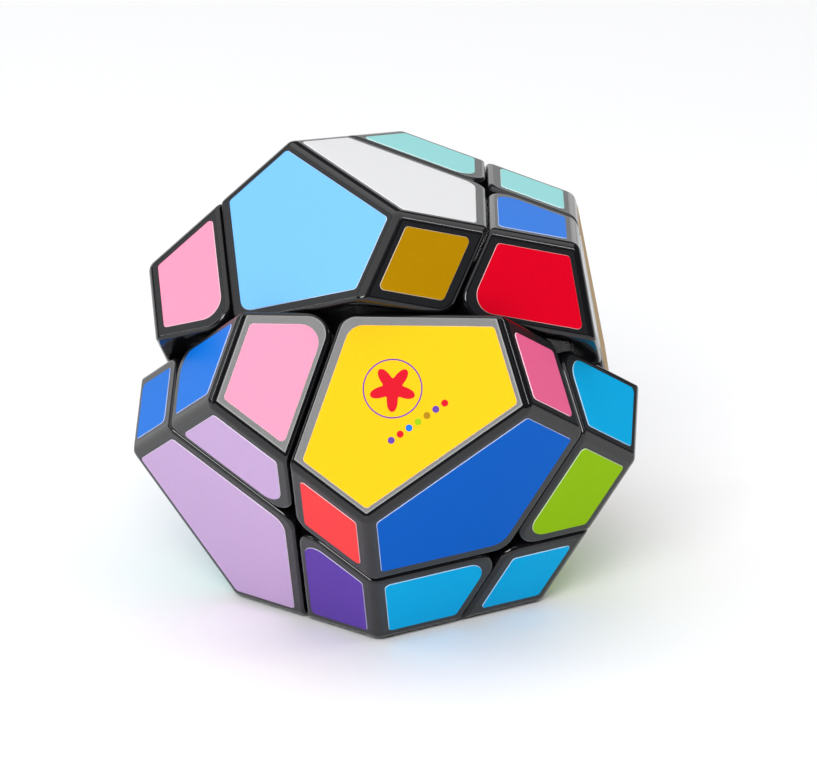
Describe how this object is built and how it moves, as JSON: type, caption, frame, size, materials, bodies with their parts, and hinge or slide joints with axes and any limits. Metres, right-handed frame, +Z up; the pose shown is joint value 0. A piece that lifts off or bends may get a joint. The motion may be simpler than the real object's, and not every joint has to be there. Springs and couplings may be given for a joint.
{
  "type": "dodecahedron twisty puzzle",
  "caption": "Black dodecahedron puzzle with coloured stickers, cut by planes through its centre, whose upper half turns about a slanted axis and stands partly turned.",
  "frame": {"origin": "centre of the pentagon that the puzzle rests on, at the surface it stands on", "axes": "+Z up, square to the resting face; -Y points out of the front, towards the lower half's front vertex; +X to the right seen from the front"},
  "size_m": [0.0822, 0.0847, 0.0762],
  "materials": {
    "shell_plastic": "black moulded plastic, satin faces and glossy rounded edges",
    "inner_plastic": "black moulded plastic",
    "steel": "zinc-plated steel",
    "spring_steel": "spring wire",
    "sticker_white": "white vinyl sticker, satin",
    "sticker_yellow": "yellow vinyl sticker, satin",
    "sticker_gold": "gold vinyl sticker, satin",
    "sticker_red": "red vinyl sticker, satin",
    "sticker_pink": "pink vinyl sticker, satin",
    "sticker_lavender": "lavender vinyl sticker, satin",
    "sticker_purple": "purple vinyl sticker, satin",
    "sticker_blue": "blue vinyl sticker, satin",
    "sticker_cyan": "cyan vinyl sticker, satin",
    "sticker_sky": "sky vinyl sticker, satin",
    "sticker_mint": "mint vinyl sticker, satin",
    "sticker_lime": "lime vinyl sticker, satin"
  },
  "bodies": {
    "lower_half": {"core": "inner_plastic", "screw_1": "steel", "screw_2": "steel", "screw_3": "steel", "screw_4": "steel", "springs": "spring_steel", "washers": "steel", "cap_edge_4": "shell_plastic", "cap_edge_5": "shell_plastic", "cap_edge_6": "shell_plastic", "cap_held_corner_2": "shell_plastic", "cap_held_corner_3": "shell_plastic", "cap_held_corner_4": "shell_plastic", "cap_free_corner_1": "shell_plastic", "base_edge_4": "inner_plastic", "base_edge_5": "inner_plastic", "base_edge_6": "inner_plastic", "base_held_corner_2": "inner_plastic", "base_held_corner_3": "inner_plastic", "base_held_corner_4": "inner_plastic", "base_free_corner_1": "inner_plastic", "stickers_white_lower": "sticker_white", "stickers_yellow_lower": "sticker_yellow", "stickers_gold_lower": "sticker_gold", "stickers_red_lower": "sticker_red", "stickers_pink_lower": "sticker_pink", "stickers_lavender_lower": "sticker_lavender", "stickers_purple_lower": "sticker_purple", "stickers_blue_lower": "sticker_blue", "stickers_cyan_lower": "sticker_cyan", "stickers_sky_lower": "sticker_sky", "stickers_mint_lower": "sticker_mint", "stickers_lime_lower": "sticker_lime"},
    "upper_half": {"cap_edge_1": "shell_plastic", "cap_edge_2": "shell_plastic", "cap_edge_3": "shell_plastic", "cap_held_corner_1": "shell_plastic", "cap_free_corner_2": "shell_plastic", "cap_free_corner_3": "shell_plastic", "cap_free_corner_4": "shell_plastic", "base_edge_1": "inner_plastic", "base_edge_2": "inner_plastic", "base_edge_3": "inner_plastic", "base_held_corner_1": "inner_plastic", "base_free_corner_2": "inner_plastic", "base_free_corner_3": "inner_plastic", "base_free_corner_4": "inner_plastic", "stickers_white_upper": "sticker_white", "stickers_yellow_upper": "sticker_yellow", "stickers_gold_upper": "sticker_gold", "stickers_red_upper": "sticker_red", "stickers_pink_upper": "sticker_pink", "stickers_lavender_upper": "sticker_lavender", "stickers_purple_upper": "sticker_purple", "stickers_blue_upper": "sticker_blue", "stickers_cyan_upper": "sticker_cyan", "stickers_sky_upper": "sticker_sky", "stickers_mint_upper": "sticker_mint", "stickers_lime_upper": "sticker_lime"}
  },
  "joints": [
    {"name": "upper_half_turn", "type": "hinge", "parent": "lower_half", "child": "upper_half", "pos_m": [0, 0, 0.035], "axis": [0, 0.6071, 0.7947], "continuous": true}
  ]
}
